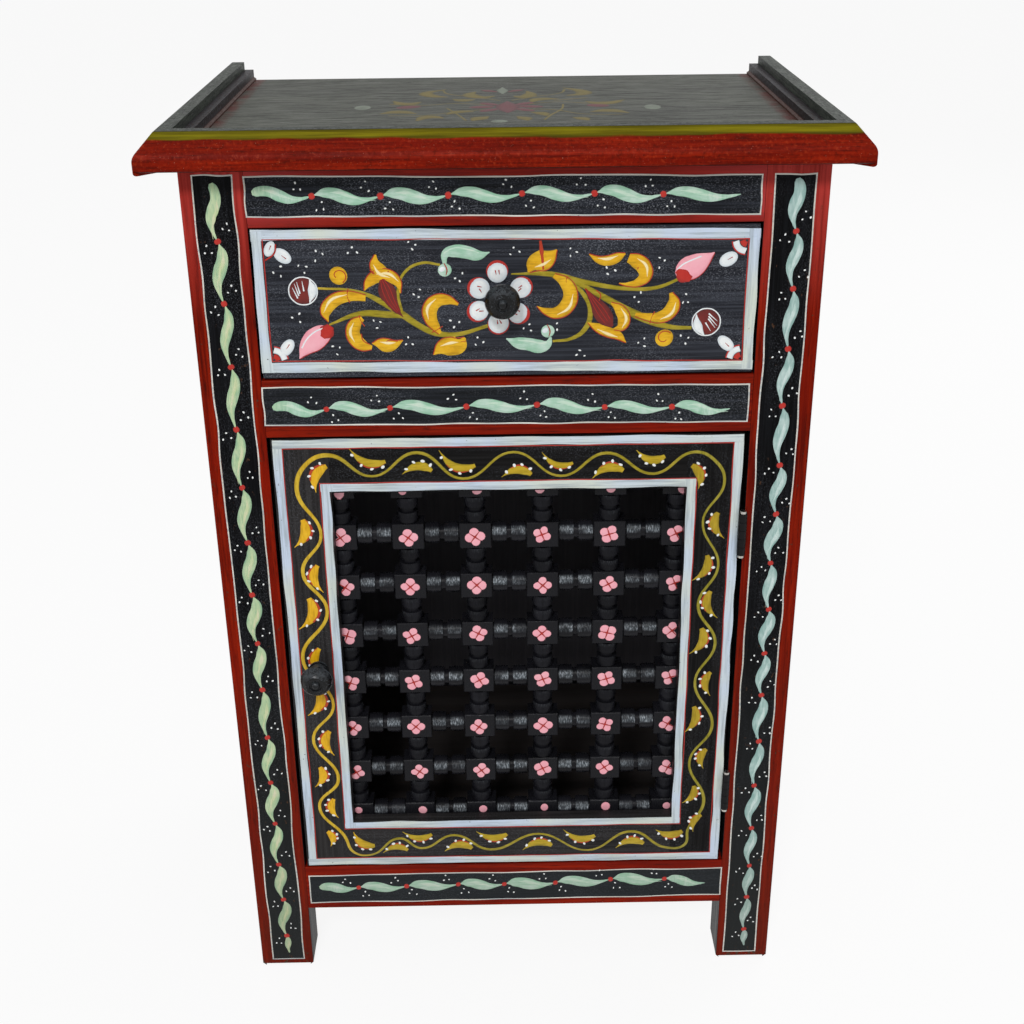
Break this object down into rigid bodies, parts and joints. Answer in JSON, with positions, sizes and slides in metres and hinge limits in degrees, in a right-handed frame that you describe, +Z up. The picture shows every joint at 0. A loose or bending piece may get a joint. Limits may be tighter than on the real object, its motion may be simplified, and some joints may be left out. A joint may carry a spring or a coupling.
{
  "type": "painted dresser",
  "caption": "Small hand-painted cabinet on square legs, with a drawer over a hinged door of turned-wood lattice and a raised moulded rim round the top.",
  "frame": {"origin": "on the floor, under the centre of the whole cabinet's bounding box, knobs included", "axes": "+Z up, +Y towards the back, so that the door and the drawer face -Y, and +X to the right as seen from the front"},
  "size_m": [0.443, 0.304, 0.6534],
  "materials": {
    "painted_frame": "red gloss paint with black painted bands, hand brushed",
    "painted_panel": "black satin paint, hand brushed",
    "painted_moulding": "dark red gloss paint with an olive line on the bead",
    "painted_top": "worn charcoal paint with a faded painted flower",
    "painted_drawer": "black gloss paint with painted flowers inside a white border",
    "painted_door": "black gloss paint with white borders and an ochre vine",
    "lattice_paint": "black satin paint on turned wood",
    "knob_paint": "black gloss paint on turned wood",
    "bright_steel": "bright steel",
    "painted_hinge": "black paint over steel",
    "catch_plastic": "matte black",
    "plywood": "bare plywood",
    "bare_wood": "bare planed softwood"
  },
  "bodies": {
    "case": {"leg_front_left": "painted_frame", "leg_front_right": "painted_frame", "leg_back_left": "painted_frame", "leg_back_right": "painted_frame", "front_rail_top": "painted_frame", "front_rail_middle": "painted_frame", "front_rail_bottom": "painted_frame", "back_rail_top": "painted_frame", "back_rail_bottom": "painted_frame", "side_rail_top_left": "painted_frame", "side_rail_top_right": "painted_frame", "side_rail_bottom_left": "painted_frame", "side_rail_bottom_right": "painted_frame", "side_panel_left": "painted_panel", "side_panel_right": "painted_panel", "back_panel": "painted_panel", "cabinet_floor": "bare_wood", "floor_cleats": "bare_wood", "drawer_runner_left": "bare_wood", "drawer_runner_right": "bare_wood", "drawer_kickers": "bare_wood", "drawer_stops": "bare_wood", "top_board": "painted_top", "top_moulding_front": "painted_moulding", "top_moulding_left": "painted_moulding", "top_moulding_right": "painted_moulding", "hinge_case_leaf_upper": "painted_hinge", "hinge_case_leaf_lower": "painted_hinge", "hinge_pins": "bright_steel", "case_hinge_screws": "bright_steel", "door_stop_strip": "bare_wood", "door_catch": "catch_plastic"},
    "drawer": {"drawer_front": "painted_drawer", "drawer_side_left": "bare_wood", "drawer_side_right": "bare_wood", "drawer_back": "bare_wood", "drawer_bottom": "plywood", "drawer_knob": "knob_paint", "drawer_knob_screw": "bright_steel"},
    "door": {"door_stile_left": "painted_door", "door_stile_right": "painted_door", "door_rail_top": "painted_door", "door_rail_bottom": "painted_door", "lattice_bar_1": "lattice_paint", "lattice_bar_2": "lattice_paint", "lattice_bar_3": "lattice_paint", "lattice_bar_4": "lattice_paint", "lattice_bar_5": "lattice_paint", "lattice_bar_6": "lattice_paint", "lattice_bar_7": "lattice_paint", "lattice_bar_8": "lattice_paint", "lattice_spindles": "lattice_paint", "lattice_beads": "lattice_paint", "hinge_door_leaf_upper": "painted_hinge", "hinge_door_leaf_lower": "painted_hinge", "door_hinge_screws": "bright_steel", "door_knob": "knob_paint", "door_knob_screw": "bright_steel", "door_catch_plate": "bright_steel"}
  },
  "joints": [
    {"name": "drawer_slide", "type": "slide", "parent": "case", "child": "drawer", "axis": [0, -1, 0], "range_m": [0, 0.18]},
    {"name": "door_hinge", "type": "hinge", "parent": "case", "child": "door", "pos_m": [0.1585, -0.13105, 0.27075], "axis": [0, 0, 1], "range_deg": [0, 170]}
  ]
}
